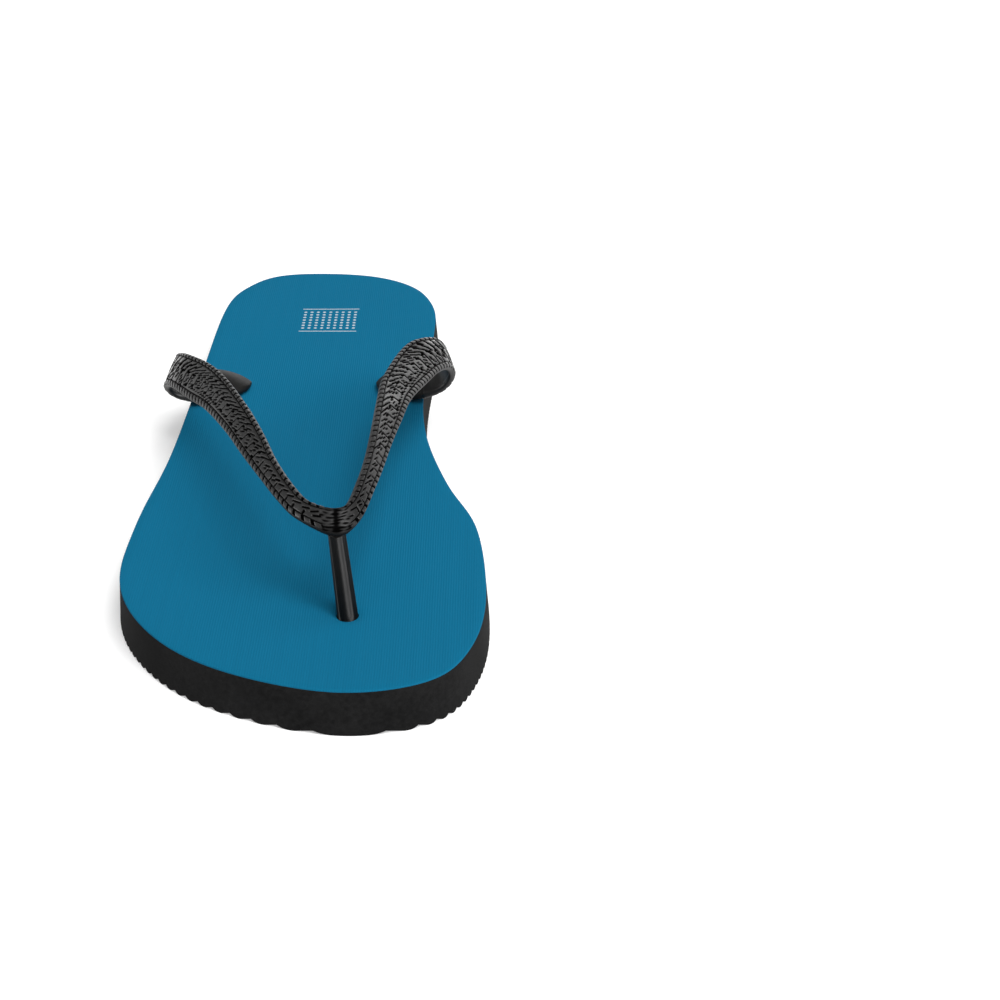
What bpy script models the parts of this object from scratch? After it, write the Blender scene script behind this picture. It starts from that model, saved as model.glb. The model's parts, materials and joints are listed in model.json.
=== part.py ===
"""A flip flop for the right foot: a flat rubber sole with a fabric footbed, a Y-shaped strap and its anchors.

The toe points along -Y, the big toe's side is +X, and the ground is z = 0. The origin is on the ground,
under the middle of the sole's outline. Driving sizes are in millimetres, and are scaled to metres when a
mesh is made. The sole bends at one line under the ball of the foot, so the sole and its lining are made as
a forefoot half and a rearfoot half that meet there.
"""

import math

import bmesh
import bpy
import numpy as np
from mathutils import Vector

MM = 0.001
GAP = 0.3  # between pieces that touch
ROUND_STEPS = 32  # around a turned piece and its hole
SMOOTH_ANGLE = 35.0  # degrees; an edge sharper than this stays sharp
CUTTER_REACH = 200.0  # past every side of the shoe
CUTTER_MARGIN = 5.0  # past the face that a hole opens in

# Sole.
SOLE_HEIGHT = 14.0  # ground to the top of the footbed
LINING_THICKNESS = 0.8
WALL_FLARE = 1.0  # how far the wall's lower edge stands outside the footbed's edge
WALL_CHAMFER = 0.5  # of the wall's lower edge
OUTLINE_STEPS = 4  # straight pieces between two outline points
OUTLINE = (  # clockwise from the tip of the toe, seen from above
    (13.0, -137.0), (38.0, -132.0), (49.0, -116.5), (53.0, -91.0), (50.0, -53.5), (40.5, -26.5), (33.0, 5.0),
    (31.0, 37.0), (33.0, 81.0), (32.5, 105.5), (24.0, 125.0), (5.0, 136.0), (-24.5, 136.5), (-38.0, 125.5),
    (-44.5, 105.0), (-46.5, 50.0), (-48.5, -8.0), (-52.5, -49.5), (-52.0, -84.0), (-39.5, -109.5),
    (-18.0, -127.0),
)

# Joint axes, both across the sole at the height of the footbed.
FLEX_Y = -60.0
STRAP_AXIS_Y = 44.0

# Toe post and its plug under the sole.
POST_BASE = (14.4, -100.5)
POST_TOP = (12.4, -98.8)
POST_BASE_RADIUS = 2.9
POST_TOP_RADIUS = 2.6
POST_HEIGHT = 24.3  # from the footbed to the middle of the slanted end, clear of the yoke as it slides
POST_END_SLOPE = 0.6
POST_SIDES = 24
STEM_CLEARANCE = 0.3
TOE_PLUG_RADIUS = 9.0
ANCHOR_PLUG_RADIUS = 8.0
ANCHOR_STEM_RADIUS = 2.8
PLUG_BOTTOM = 0.5  # above the ground
PLUG_THICKNESS = 2.6
PLUG_CHAMFER = 0.6
LATERAL_HOLE = (-37.5, 36.5)
MEDIAL_HOLE = (22.5, 37.5)

# Strap: pairs of points on its two edges, from the outer tongue's tip over the yoke to the inner tongue's
# tip, as x, y and the height above the footbed. The first of a pair is the front or outer edge.
STRAP_THICKNESS = 3.2
TIP_THICKNESS_SHARE = 0.45
TAPER_PER_PAIR = 0.25  # how much of the full thickness each pair from the tip adds
STRAP_STEPS = 3  # sections between two pairs
LATERAL_LEG = (
    ((-26.8, 39.5, 1.2), (-29.5, 43.5, 1.5)),
    ((-30.3, 33.0, 2.0), (-36.0, 45.8, 2.5)),
    ((-36.5, 27.5, 2.4), (-42.0, 46.5, 3.0)),
    ((-44.0, 24.5, 3.0), (-47.0, 43.5, 4.5)),
    ((-50.5, 24.0, 4.4), (-50.0, 40.0, 8.0)),
    ((-53.2, 21.5, 8.2), (-50.6, 36.0, 13.0)),
    ((-51.6, 16.0, 12.5), (-48.4, 28.0, 18.5)),
    ((-47.0, 6.7, 15.5), (-43.5, 15.5, 24.0)),
    ((-40.5, -7.0, 19.0), (-35.0, 0.0, 28.5)),
    ((-34.0, -19.2, 22.0), (-28.0, -14.6, 31.0)),
    ((-25.0, -40.3, 25.5), (-18.8, -36.7, 32.6)),
    ((-17.8, -58.0, 27.0), (-12.0, -54.9, 33.0)),
    ((-10.8, -73.1, 27.5), (-6.8, -70.3, 32.7)),
    ((-4.4, -86.0, 27.5), (-0.8, -83.5, 32.0)),
    ((1.8, -95.0, 27.0), (4.5, -91.7, 31.3)),
)
YOKE = (((12.5, -101.0, 25.5), (11.8, -94.4, 30.3)),)
MEDIAL_LEG = (
    ((17.6, -95.5, 26.2), (15.3, -91.0, 30.8)),
    ((20.9, -81.1, 27.5), (17.6, -80.2, 32.4)),
    ((22.8, -68.0, 27.5), (19.1, -67.5, 33.4)),
    ((24.6, -53.0, 27.4), (19.9, -52.0, 34.2)),
    ((27.0, -37.0, 27.0), (20.3, -35.9, 34.0)),
    ((29.5, -20.2, 26.0), (21.2, -17.5, 33.0)),
    ((34.7, 0.5, 22.5), (26.2, 8.0, 30.5)),
    ((37.5, 12.1, 19.8), (31.4, 20.5, 27.5)),
    ((40.2, 20.3, 16.5), (35.8, 31.0, 22.0)),
    ((41.0, 24.5, 11.5), (38.0, 38.0, 14.0)),
    ((37.3, 26.0, 6.0), (35.0, 43.0, 7.0)),
    ((29.5, 27.0, 3.0), (30.0, 45.5, 4.0)),
    ((22.5, 29.3, 2.5), (25.0, 46.5, 3.0)),
    ((17.0, 33.0, 2.0), (19.5, 46.0, 2.5)),
    ((14.0, 38.8, 1.2), (15.8, 44.0, 1.5)),
)
# The strap's section: places across its half width, and across its thickness with the outer face positive.
SECTION = (
    (1.0, 0.0), (0.93, 0.32), (0.6, 0.48), (0.0, 0.55), (-0.6, 0.48), (-0.93, 0.32), (-1.0, 0.0),
    (-0.93, -0.3), (-0.5, -0.42), (0.0, -0.45), (0.5, -0.42), (0.93, -0.3),
)


def clear_scene():
    """Remove every object of the startup scene."""
    for obj in list(bpy.data.objects):
        bpy.data.objects.remove(obj, do_unlink=True)


def make_collection(name):
    """A collection of the given name, linked to the scene."""
    collection = bpy.data.collections.new(name)
    bpy.context.scene.collection.children.link(collection)
    return collection


def make_material(name, colour, roughness):
    """A Principled material of one colour and roughness."""
    material = bpy.data.materials.new(name)
    material.use_nodes = True
    shader = material.node_tree.nodes["Principled BSDF"]
    shader.inputs["Base Color"].default_value = (*colour, 1.0)
    shader.inputs["Roughness"].default_value = roughness
    shader.inputs["Metallic"].default_value = 0.0
    material.diffuse_color = (*colour, 1.0)
    return material


def add_object(name, mesh, collection, material=None, parent=None):
    """Link a mesh whose points are in world space, under the empty on its joint's axis if it moves."""
    obj = bpy.data.objects.new(name, mesh)
    collection.objects.link(obj)
    if material:
        mesh.materials.append(material)
    if parent:
        obj.parent = parent
        obj.location = -parent.location
    return obj


def add_axis(name, y, collection):
    """An empty on a joint's axis, at the height of the footbed."""
    empty = bpy.data.objects.new(name, None)
    empty.location = Vector((0.0, y, SOLE_HEIGHT)) * MM
    collection.objects.link(empty)
    return empty


def smooth_path(points, steps, closed):
    """Points on a Catmull-Rom curve through the given points, with this many steps between two of them."""
    points = np.array(points, float)
    if closed:
        before, after = points[-1], points[:2]
    else:
        before, after = 2 * points[0] - points[1], [2 * points[-1] - points[-2]]
    knots = np.vstack([before, points, after])
    path = []
    for p0, p1, p2, p3 in zip(knots, knots[1:], knots[2:], knots[3:]):
        for t in np.arange(steps) / steps:
            linear = (p2 - p0) * t
            square = (2 * p0 - 5 * p1 + 4 * p2 - p3) * t**2
            cube = (3 * p1 - p0 - 3 * p2 + p3) * t**3
            path.append(0.5 * (2 * p1 + linear + square + cube))
    if not closed:
        path.append(points[-1])
    return np.array(path)


def outline_ring(offset, z):
    """The footbed's outline moved outwards by an offset, at height z."""
    path = smooth_path(OUTLINE, OUTLINE_STEPS, closed=True)
    along = np.roll(path, -1, axis=0) - np.roll(path, 1, axis=0)
    outward = np.column_stack([along[:, 1], -along[:, 0]])
    outward /= np.linalg.norm(outward, axis=1)[:, None]
    moved = path + offset * outward
    return [Vector((x, y, z)) for x, y in moved]


def loft(name, rings):
    """A closed mesh through rings of points that have the same count, with a cap at both ends."""
    bm = bmesh.new()
    rows = [[bm.verts.new(point * MM) for point in ring] for ring in rings]
    for lower, upper in zip(rows, rows[1:]):
        for i in range(len(lower)):
            j = (i + 1) % len(lower)
            bm.faces.new((lower[i], lower[j], upper[j], upper[i]))
    bm.faces.new(rows[0][::-1])
    bm.faces.new(rows[-1])
    bmesh.ops.recalc_face_normals(bm, faces=bm.faces)
    mesh = bpy.data.meshes.new(name)
    bm.to_mesh(mesh)
    bm.free()
    return mesh


def smooth_shading(mesh):
    """Shade a mesh smooth, but for its sharp edges."""
    mesh.shade_smooth()
    mesh.set_sharp_from_angle(angle=math.radians(SMOOTH_ANGLE))


def make_cutter(name, mesh, cutters):
    """A hidden solid that cuts another."""
    cutter = add_object(name, mesh, cutters)
    cutter.hide_render = True
    cutter.display_type = "WIRE"
    return cutter


def box_cutter(name, low_y, high_y, cutters):
    """A box wider and taller than the shoe, between two places along Y."""
    bm = bmesh.new()
    bmesh.ops.create_cube(bm, size=1.0)
    size = Vector((CUTTER_REACH, high_y - low_y, CUTTER_REACH)) * MM
    bmesh.ops.scale(bm, vec=size, verts=bm.verts)
    bmesh.ops.translate(bm, vec=Vector((0.0, (low_y + high_y) / 2, 0.0)) * MM, verts=bm.verts)
    mesh = bpy.data.meshes.new(name)
    bm.to_mesh(mesh)
    bm.free()
    return make_cutter(name, mesh, cutters)


def cylinder_cutter(name, centre, radius, low, high, cutters):
    """An upright cylinder between two heights."""
    bm = bmesh.new()
    bmesh.ops.create_cone(
        bm,
        cap_ends=True,
        segments=ROUND_STEPS,
        radius1=radius * MM,
        radius2=radius * MM,
        depth=(high - low) * MM,
    )
    bmesh.ops.translate(bm, vec=Vector((*centre, (low + high) / 2)) * MM, verts=bm.verts)
    mesh = bpy.data.meshes.new(name)
    bm.to_mesh(mesh)
    bm.free()
    return make_cutter(name, mesh, cutters)


def cut(obj, cutter, operation="DIFFERENCE"):
    """Add an exact Boolean to an object."""
    modifier = obj.modifiers.new(cutter.name, "BOOLEAN")
    modifier.operation = operation
    modifier.solver = "EXACT"
    modifier.object = cutter


def plug_recesses(cutters):
    """For each plug, the cutter of its stem's hole and of the round recess in the ground face."""
    plugs = (
        ("toe", POST_BASE, POST_BASE_RADIUS, TOE_PLUG_RADIUS),
        ("lateral", LATERAL_HOLE, ANCHOR_STEM_RADIUS, ANCHOR_PLUG_RADIUS),
        ("medial", MEDIAL_HOLE, ANCHOR_STEM_RADIUS, ANCHOR_PLUG_RADIUS),
    )
    bottom = -CUTTER_MARGIN
    recess_top = PLUG_BOTTOM + PLUG_THICKNESS + GAP
    hole_top = SOLE_HEIGHT + CUTTER_MARGIN
    cutter_pairs = {}
    for name, centre, stem_radius, plug_radius in plugs:
        hole_radius = stem_radius + STEM_CLEARANCE
        hole = cylinder_cutter(f"{name}_hole", centre, hole_radius, bottom, hole_top, cutters)
        recess = cylinder_cutter(f"{name}_recess", centre, plug_radius + GAP, bottom, recess_top, cutters)
        cutter_pairs[name] = (hole, recess)
    return cutter_pairs


def make_sole(parts, cutters, halves, recesses, material):
    """The rubber sole with its flared wall, as two halves that meet at the flex line."""
    top = SOLE_HEIGHT - LINING_THICKNESS - GAP
    rings = [
        outline_ring(WALL_FLARE - WALL_CHAMFER, 0.0),
        outline_ring(WALL_FLARE, WALL_CHAMFER),
        outline_ring(0.0, top),
    ]
    for half, half_box, parent, plugs in halves:
        mesh = loft(f"sole_{half}", rings)
        sole = add_object(f"sole_{half}", mesh, parts, material, parent)
        cut(sole, half_box, "INTERSECT")
        for plug in plugs:
            for cutter in recesses[plug]:
                cut(sole, cutter)


def make_lining(parts, halves, recesses, material):
    """The printed fabric sheet that covers the footbed, as two halves that meet at the flex line."""
    rings = [outline_ring(0.0, SOLE_HEIGHT - LINING_THICKNESS), outline_ring(0.0, SOLE_HEIGHT)]
    for half, half_box, parent, plugs in halves:
        mesh = loft(f"lining_{half}", rings)
        lining = add_object(f"lining_{half}", mesh, parts, material, parent)
        cut(lining, half_box, "INTERSECT")
        for plug in plugs:
            cut(lining, recesses[plug][0])


def turned(name, profile, centre, parts, material, parent=None):
    """A turned piece: a profile of radius and height, from top to bottom, swept about an upright axis."""
    mesh = bpy.data.meshes.new(name)
    points = [(radius * MM, 0.0, z * MM) for radius, z in profile]
    mesh.from_pydata(points, [(i, i + 1) for i in range(len(points) - 1)], [])
    obj = add_object(name, mesh, parts, material, parent)
    obj.location += Vector((*centre, 0.0)) * MM
    screw = obj.modifiers.new("turn", "SCREW")
    screw.steps = ROUND_STEPS
    screw.render_steps = ROUND_STEPS
    screw.use_merge_vertices = True
    screw.merge_threshold = 0.00001
    return obj


def make_plugs(parts, material, rear_axis):
    """The toe post's round plug, and the two anchor plugs with their stems."""
    bottom = PLUG_BOTTOM
    top = PLUG_BOTTOM + PLUG_THICKNESS
    edge = PLUG_CHAMFER
    turned(
        "toe_plug",
        (
            (0.0, top),
            (TOE_PLUG_RADIUS - edge, top),
            (TOE_PLUG_RADIUS, top - edge),
            (TOE_PLUG_RADIUS, bottom + edge),
            (TOE_PLUG_RADIUS - edge, bottom),
            (0.0, bottom),
        ),
        POST_BASE,
        parts,
        material,
    )
    for side, centre in (("lateral", LATERAL_HOLE), ("medial", MEDIAL_HOLE)):
        turned(
            f"{side}_anchor_plug",
            (
                (0.0, SOLE_HEIGHT),
                (ANCHOR_STEM_RADIUS, SOLE_HEIGHT),
                (ANCHOR_STEM_RADIUS, top),
                (ANCHOR_PLUG_RADIUS - edge, top),
                (ANCHOR_PLUG_RADIUS, top - edge),
                (ANCHOR_PLUG_RADIUS, bottom + edge),
                (ANCHOR_PLUG_RADIUS - edge, bottom),
                (0.0, bottom),
            ),
            centre,
            parts,
            material,
            rear_axis,
        )


def circle(centre, radius, z, slope=0.0):
    """A ring of points, level along X and rising towards +Y by the slope."""
    ring = []
    for i in range(POST_SIDES):
        turn = 2 * math.pi * i / POST_SIDES
        y = radius * math.sin(turn)
        ring.append(Vector((centre[0] + radius * math.cos(turn), centre[1] + y, z + slope * y)))
    return ring


def make_toe_post(parts, material):
    """The round post between the toes: upright in the sole, then leaning back to the yoke's underside."""
    foot = PLUG_BOTTOM + PLUG_THICKNESS + GAP
    rings = [
        circle(POST_BASE, POST_BASE_RADIUS, foot),
        circle(POST_BASE, POST_BASE_RADIUS, SOLE_HEIGHT),
        circle(POST_TOP, POST_TOP_RADIUS, SOLE_HEIGHT + POST_HEIGHT, POST_END_SLOPE),
    ]
    mesh = loft("toe_post", rings)
    smooth_shading(mesh)
    add_object("toe_post", mesh, parts, material)


def make_strap(parts, material, strap_axis):
    """The Y-shaped strap: one ribbon over the yoke, whose legs curl out, under and back in as tongues."""
    pairs = LATERAL_LEG + YOKE + MEDIAL_LEG
    path = smooth_path([front + rear for front, rear in pairs], STRAP_STEPS, closed=False)
    path[:, [2, 5]] += SOLE_HEIGHT
    front, rear = path[:, :3], path[:, 3:]
    middle = (front + rear) / 2
    along = np.gradient(middle, axis=0)
    across = (front - rear) / 2
    outward = np.cross(across, along)
    outward /= np.linalg.norm(outward, axis=1)[:, None]
    rings = []
    last = len(path) - 1
    for i in range(len(path)):
        from_tip = min(i, last - i) / STRAP_STEPS
        thickness = STRAP_THICKNESS * min(1.0, TIP_THICKNESS_SHARE + TAPER_PER_PAIR * from_tip)
        ring = []
        for side, depth in SECTION:
            ring.append(Vector(middle[i] + side * across[i] + depth * thickness * outward[i]))
        rings.append(ring)
    mesh = loft("y_strap", rings)
    smooth_shading(mesh)
    add_object("y_strap", mesh, parts, material, strap_axis)


def main():
    clear_scene()
    parts = make_collection("flip_flop")
    cutters = make_collection("cutters")
    rubber = make_material("sole_rubber", (0.012, 0.012, 0.013), 0.75)
    fabric = make_material("footbed_fabric", (0.008, 0.16, 0.3), 0.8)
    strap_rubber = make_material("strap_rubber", (0.02, 0.02, 0.021), 0.5)
    post_rubber = make_material("post_rubber", (0.012, 0.012, 0.013), 0.25)
    rear_axis = add_axis("sole_flex_axis", FLEX_Y, parts)
    strap_axis = add_axis("strap_lift_axis", STRAP_AXIS_Y, parts)
    fore_box = box_cutter("forefoot_half", -CUTTER_REACH, FLEX_Y - GAP / 2, cutters)
    rear_box = box_cutter("rearfoot_half", FLEX_Y + GAP / 2, CUTTER_REACH, cutters)
    halves = (
        ("forefoot", fore_box, None, ("toe",)),
        ("rearfoot", rear_box, rear_axis, ("lateral", "medial")),
    )
    recesses = plug_recesses(cutters)
    make_sole(parts, cutters, halves, recesses, rubber)
    make_lining(parts, halves, recesses, fabric)
    make_plugs(parts, post_rubber, rear_axis)
    make_toe_post(parts, post_rubber)
    make_strap(parts, strap_rubber, strap_axis)


main()
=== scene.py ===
"""Looks of the flip flop: rubber sole with a ripple tread, woven footbed, embossed strap, post and plugs."""

import json
import math

import bmesh
import bpy
import numpy as np
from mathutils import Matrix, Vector
from mathutils.geometry import delaunay_2d_cdt


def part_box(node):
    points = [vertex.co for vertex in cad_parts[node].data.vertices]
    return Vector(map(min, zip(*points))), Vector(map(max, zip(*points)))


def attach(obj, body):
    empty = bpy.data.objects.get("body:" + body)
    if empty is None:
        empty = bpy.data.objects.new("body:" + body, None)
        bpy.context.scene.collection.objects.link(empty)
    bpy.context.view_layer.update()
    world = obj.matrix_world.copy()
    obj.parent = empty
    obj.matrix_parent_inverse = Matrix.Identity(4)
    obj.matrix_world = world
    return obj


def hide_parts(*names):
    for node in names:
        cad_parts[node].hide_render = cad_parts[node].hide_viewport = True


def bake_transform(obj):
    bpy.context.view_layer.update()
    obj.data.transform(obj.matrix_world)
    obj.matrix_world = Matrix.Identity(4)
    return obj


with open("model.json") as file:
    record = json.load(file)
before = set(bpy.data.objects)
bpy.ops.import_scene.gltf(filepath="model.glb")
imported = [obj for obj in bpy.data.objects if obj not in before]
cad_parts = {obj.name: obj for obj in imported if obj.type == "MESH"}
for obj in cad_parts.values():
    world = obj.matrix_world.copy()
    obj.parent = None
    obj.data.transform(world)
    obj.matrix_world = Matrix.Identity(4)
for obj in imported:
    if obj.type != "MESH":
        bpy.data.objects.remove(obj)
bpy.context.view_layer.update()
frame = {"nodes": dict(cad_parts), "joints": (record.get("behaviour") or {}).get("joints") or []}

MM = 0.001


def node_box(name):
    """A CAD node's lowest and highest corners, in millimetres."""
    low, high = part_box(name)
    return np.array(low) / MM, np.array(high) / MM


def centre_of(name):
    """The middle of a CAD node, seen from above, in millimetres."""
    low, high = node_box(name)
    return (low[:2] + high[:2]) / 2


# Places from the frame, in millimetres.
FOOTBED_TOP = node_box("lining_forefoot")[1][2]
FLEX_Y = next(j for j in frame["joints"] if j["name"] == "sole_flex")["pos_m"][1] / MM
POST_BASE = centre_of("toe_plug")
LATERAL_HOLE = centre_of("lateral_anchor_plug")
MEDIAL_HOLE = centre_of("medial_anchor_plug")
PLUGS = (("toe_plug", POST_BASE), ("lateral_anchor_plug", LATERAL_HOLE), ("medial_anchor_plug", MEDIAL_HOLE))

# Sole and lining.
OUTLINE_STEP = 0.8  # between two points of the footbed's edge
OUTLINE_BLUR = 2.5  # the spread of its smoothing
LINING_THICKNESS = 0.55
GRID_X = 3.0  # between the lining's points
GRID_Y = 2.0
WALL = (  # the wall's profile, bottom to top: how far outside the footbed's edge, and the height
    (0.8, -0.6), (0.92, 0.0), (1.0, 0.4), (1.0, 0.9), (0.95, 1.6), (0.72, 4.2), (0.5, 7.0), (0.28, 9.8),
    (0.1, 12.2), (0.03, 13.1), (-0.04, 13.45),
)
RIPPLE_PITCH = 2.65
RIPPLE_DEPTH = 1.3
RIPPLE_SIDES = 8
RIPPLE_SHARPNESS = 1.4
RECESS_GAP = 0.3  # between a plug's disc and the recess around it
RECESS_TOP = 3.4
HOLE_RADIUS = 3.2
HOLE_SIDES = 48
RIB_PITCH = 0.72  # of the fabric's lengthwise ribs
PRINT_PLACE = (-5.5, 95.0)
DOT_PITCH = 2.3
DOT_RADIUS = 0.57
DOT_COLUMNS = 9
DOT_ROWS = 7
PRINT_BARS = (9.6, -9.6)  # each bar's place along the shoe
BAR_LENGTH = 20.8
BAR_WIDTH = 0.56
BEND_START = FLEX_Y - 19.0  # the stretch around the hinge that takes up the bend
BEND_END = FLEX_Y + 37.0
BEND_STEP = 2.0

# Strap: pairs of points on its two edges, as x, y and the height above the footbed, the front or outer edge
# first, from the outer tongue's tip over the yoke to the inner tongue's tip.
STRAP_EDGES = (
    ((-26.8, 39.5, 1.2), (-29.5, 43.5, 1.5)),
    ((-30.3, 33.0, 2.0), (-36.0, 45.8, 2.5)),
    ((-36.5, 27.5, 2.4), (-42.0, 46.5, 3.0)),
    ((-44.0, 24.5, 3.0), (-47.0, 43.5, 4.5)),
    ((-50.5, 24.0, 4.4), (-50.0, 40.0, 8.0)),
    ((-53.2, 21.5, 8.2), (-50.6, 36.0, 13.0)),
    ((-51.6, 16.0, 12.5), (-48.4, 28.0, 18.5)),
    ((-47.0, 6.7, 15.5), (-43.5, 15.5, 24.0)),
    ((-40.5, -7.0, 19.0), (-35.0, 0.0, 28.5)),
    ((-34.0, -19.2, 22.0), (-28.0, -14.6, 31.0)),
    ((-25.0, -40.3, 25.5), (-18.8, -36.7, 32.6)),
    ((-17.8, -58.0, 27.0), (-12.0, -54.9, 33.0)),
    ((-10.8, -73.1, 27.5), (-6.8, -70.3, 32.7)),
    ((-4.4, -86.0, 27.5), (-0.8, -83.5, 32.0)),
    ((1.8, -95.0, 27.0), (4.5, -91.7, 31.3)),
    ((12.5, -101.0, 25.5), (11.8, -94.4, 30.3)),
    ((17.6, -95.5, 26.2), (15.3, -91.0, 30.8)),
    ((20.9, -81.1, 27.5), (17.6, -80.2, 32.4)),
    ((22.8, -68.0, 27.5), (19.1, -67.5, 33.4)),
    ((24.6, -53.0, 27.4), (19.9, -52.0, 34.2)),
    ((27.0, -37.0, 27.0), (20.3, -35.9, 34.0)),
    ((29.5, -20.2, 26.0), (21.2, -17.5, 33.0)),
    ((34.7, 0.5, 22.5), (26.2, 8.0, 30.5)),
    ((37.5, 12.1, 19.8), (31.4, 20.5, 27.5)),
    ((40.2, 20.3, 16.5), (35.8, 31.0, 22.0)),
    ((41.0, 24.5, 11.5), (38.0, 38.0, 14.0)),
    ((37.3, 26.0, 6.0), (35.0, 43.0, 7.0)),
    ((29.5, 27.0, 3.0), (30.0, 45.5, 4.0)),
    ((22.5, 29.3, 2.5), (25.0, 46.5, 3.0)),
    ((17.0, 33.0, 2.0), (19.5, 46.0, 2.5)),
    ((14.0, 38.8, 1.2), (15.8, 44.0, 1.5)),
)
YOKE_PAIR = 15  # the one at the yoke's tip
CURVE_STEPS = 40  # between two pairs
STRAP_THICKNESS = 2.5
YOKE_THICKNESS = 3.2
STATION = 0.26  # between two sections of the strap
STRAP_BLUR = 1.2
OUTER_POINTS = 80  # of a section, over its outer face
INNER_POINTS = 26
OUTER_ROUND = 1.1
INNER_ROUND = 0.8
TIP_LENGTH = 3.5  # of each end's rounding
STRAP_CROWN = 0.22  # how far the outer face swells in its middle
DISH_DEPTH = 0.45  # of the inner face
TONGUE_CROWN = 2.0
TONGUE_BELLY = 1.25
BEAD_PITCH = 2.95
BEAD_HEIGHT = 0.1
NOTCH_DEPTH = 0.75
NOTCH_WIDTH = 0.8  # between two beads
NOTCH_SLANT = 0.5
FRONT_ROW = 1.75  # from the edge to the middle of its beads
REAR_ROW = 0.75
RAIL_DEPTH = 0.3  # of the line beside the beads
WRINKLE_DEPTH = 0.3
CREASE_DEPTH = 0.22
SLOTS_START = 25.0  # from a tip
SLOT_PITCH = 5.4  # between two large slots on the curl
DASHES_START = 23.0  # from a tip
ROW_PITCH = 0.98  # between two rows of dashes
PATTERN_SEED = 11
INNER_RELIEF = 0.68  # what the material reads on the inner face, between a groove's and a raised part's

# Post and plugs.
POST_LEAN = (-2.0, 1.7, 24.3)  # from the footbed to its top
POST_RADIUS = 2.9
ANCHOR_RADIUS = 2.8
PLUG_THICKNESS = 2.6
ROUND_SIDES = 96
FLUTES = 8  # shallow ones along the post
FLUTE_DEPTH = 0.07

# Light: each soft box's azimuth from +x towards the heel, its elevation and its width in degrees, and its
# strength. The low ones, near the floor, only give the rubber its highlights.
WORLD_STRENGTH = 0.2
FLOOR_GLOW = 0.35
FLOOR_REACH = 60.0  # metres
FLOOR_GAP = 0.00003
SOFT_BOXES = (
    ("key_right", 328.0, 38.0, 30.0, 1.55),
    ("key_top", 304.0, 62.0, 28.0, 2.2),
    ("back", 30.0, 62.0, 30.0, 0.6),
    ("front_left", 240.0, 62.0, 30.0, 0.4),
    ("backdrop", 88.0, 10.0, 30.0, 0.4),
)
HIGHLIGHT_BOXES = (
    ("low_right", 318.0, 12.0, 34.0, 4.0),
    ("low_left", 186.0, 12.0, 16.0, 2.0),
    ("low_behind", 68.0, 3.0, 10.0, 0.36),
)


def smoothstep(low, high, x):
    """0 below low, 1 above high, and smooth between."""
    t = np.clip((x - low) / (high - low), 0.0, 1.0)
    return t * t * (3 - 2 * t)


def smooth_path(points, steps, closed):
    """Points on a Catmull-Rom curve through the given points, with this many steps between two of them."""
    points = np.array(points, float)
    if closed:
        before, after = points[-1], points[:2]
    else:
        before, after = 2 * points[0] - points[1], [2 * points[-1] - points[-2]]
    knots = np.vstack([before, points, after])
    path = []
    for p0, p1, p2, p3 in zip(knots, knots[1:], knots[2:], knots[3:]):
        for t in np.arange(steps) / steps:
            linear = (p2 - p0) * t
            square = (2 * p0 - 5 * p1 + 4 * p2 - p3) * t**2
            cube = (3 * p1 - p0 - 3 * p2 + p3) * t**3
            path.append(0.5 * (2 * p1 + linear + square + cube))
    if not closed:
        path.append(points[-1])
    return np.array(path)


def lengths(path):
    """How far along a path each of its points is."""
    return np.concatenate([[0.0], np.cumsum(np.linalg.norm(np.diff(path, axis=0), axis=1))])


def blurred(rows, sigma, closed):
    """Evenly spaced rows smoothed with a Gaussian, sigma in rows. Open ends stay where they are."""
    reach = int(4 * sigma)
    weights = np.exp(-0.5 * (np.arange(-reach, reach + 1) / sigma) ** 2)
    weights /= weights.sum()
    if closed:
        padded = np.vstack([rows[-reach:], rows, rows[:reach]])
    else:
        head = 2 * rows[0] - rows[reach:0:-1]
        tail = 2 * rows[-1] - rows[-2 : -reach - 2 : -1]
        padded = np.vstack([head, rows, tail])
    columns = [np.convolve(column, weights, "valid") for column in padded.T]
    return np.column_stack(columns)


def new_object(name, mesh, *materials):
    """An object in the scene, with its mesh and its materials."""
    obj = bpy.data.objects.new(name, mesh)
    bpy.context.scene.collection.objects.link(obj)
    for material in materials:
        mesh.materials.append(material)
    return obj


def mesh_from(name, points, faces):
    """A mesh from points in millimetres and faces, with its normals pointing out."""
    mesh = bpy.data.meshes.new(name)
    mesh.from_pydata([tuple(p) for p in np.asarray(points) * MM], [], [tuple(f) for f in faces])
    bm = bmesh.new()
    bm.from_mesh(mesh)
    bmesh.ops.recalc_face_normals(bm, faces=bm.faces)
    bm.to_mesh(mesh)
    bm.free()
    return mesh


def shade(mesh, angle):
    """Smooth shading, with edges over the angle kept sharp."""
    mesh.shade_smooth()
    mesh.set_sharp_from_angle(angle=math.radians(angle))


def strip(lower, upper):
    """Quads between two closed rings of point numbers."""
    count = len(lower)
    return [(lower[i], lower[(i + 1) % count], upper[(i + 1) % count], upper[i]) for i in range(count)]


def apply_modifiers(obj):
    """Replace an object's mesh by what its modifiers make of it."""
    graph = bpy.context.evaluated_depsgraph_get()
    mesh = bpy.data.meshes.new_from_object(obj.evaluated_get(graph))
    obj.modifiers.clear()
    obj.data = mesh


# ---------------------------------------------------------------- materials


def new_material(name):
    """A node material and its shader."""
    material = bpy.data.materials.new(name)
    material.use_nodes = True
    return material, material.node_tree, material.node_tree.nodes["Principled BSDF"]


def add(tree, kind, **values):
    """A node with the given properties and input values. An input's name has _ for each space."""
    node = tree.nodes.new(kind)
    for key, value in values.items():
        if hasattr(node, key):
            setattr(node, key, value)
        elif key.startswith("in"):
            node.inputs[int(key[2:])].default_value = value
        else:
            node.inputs[key.replace("_", " ")].default_value = value
    return node


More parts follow.
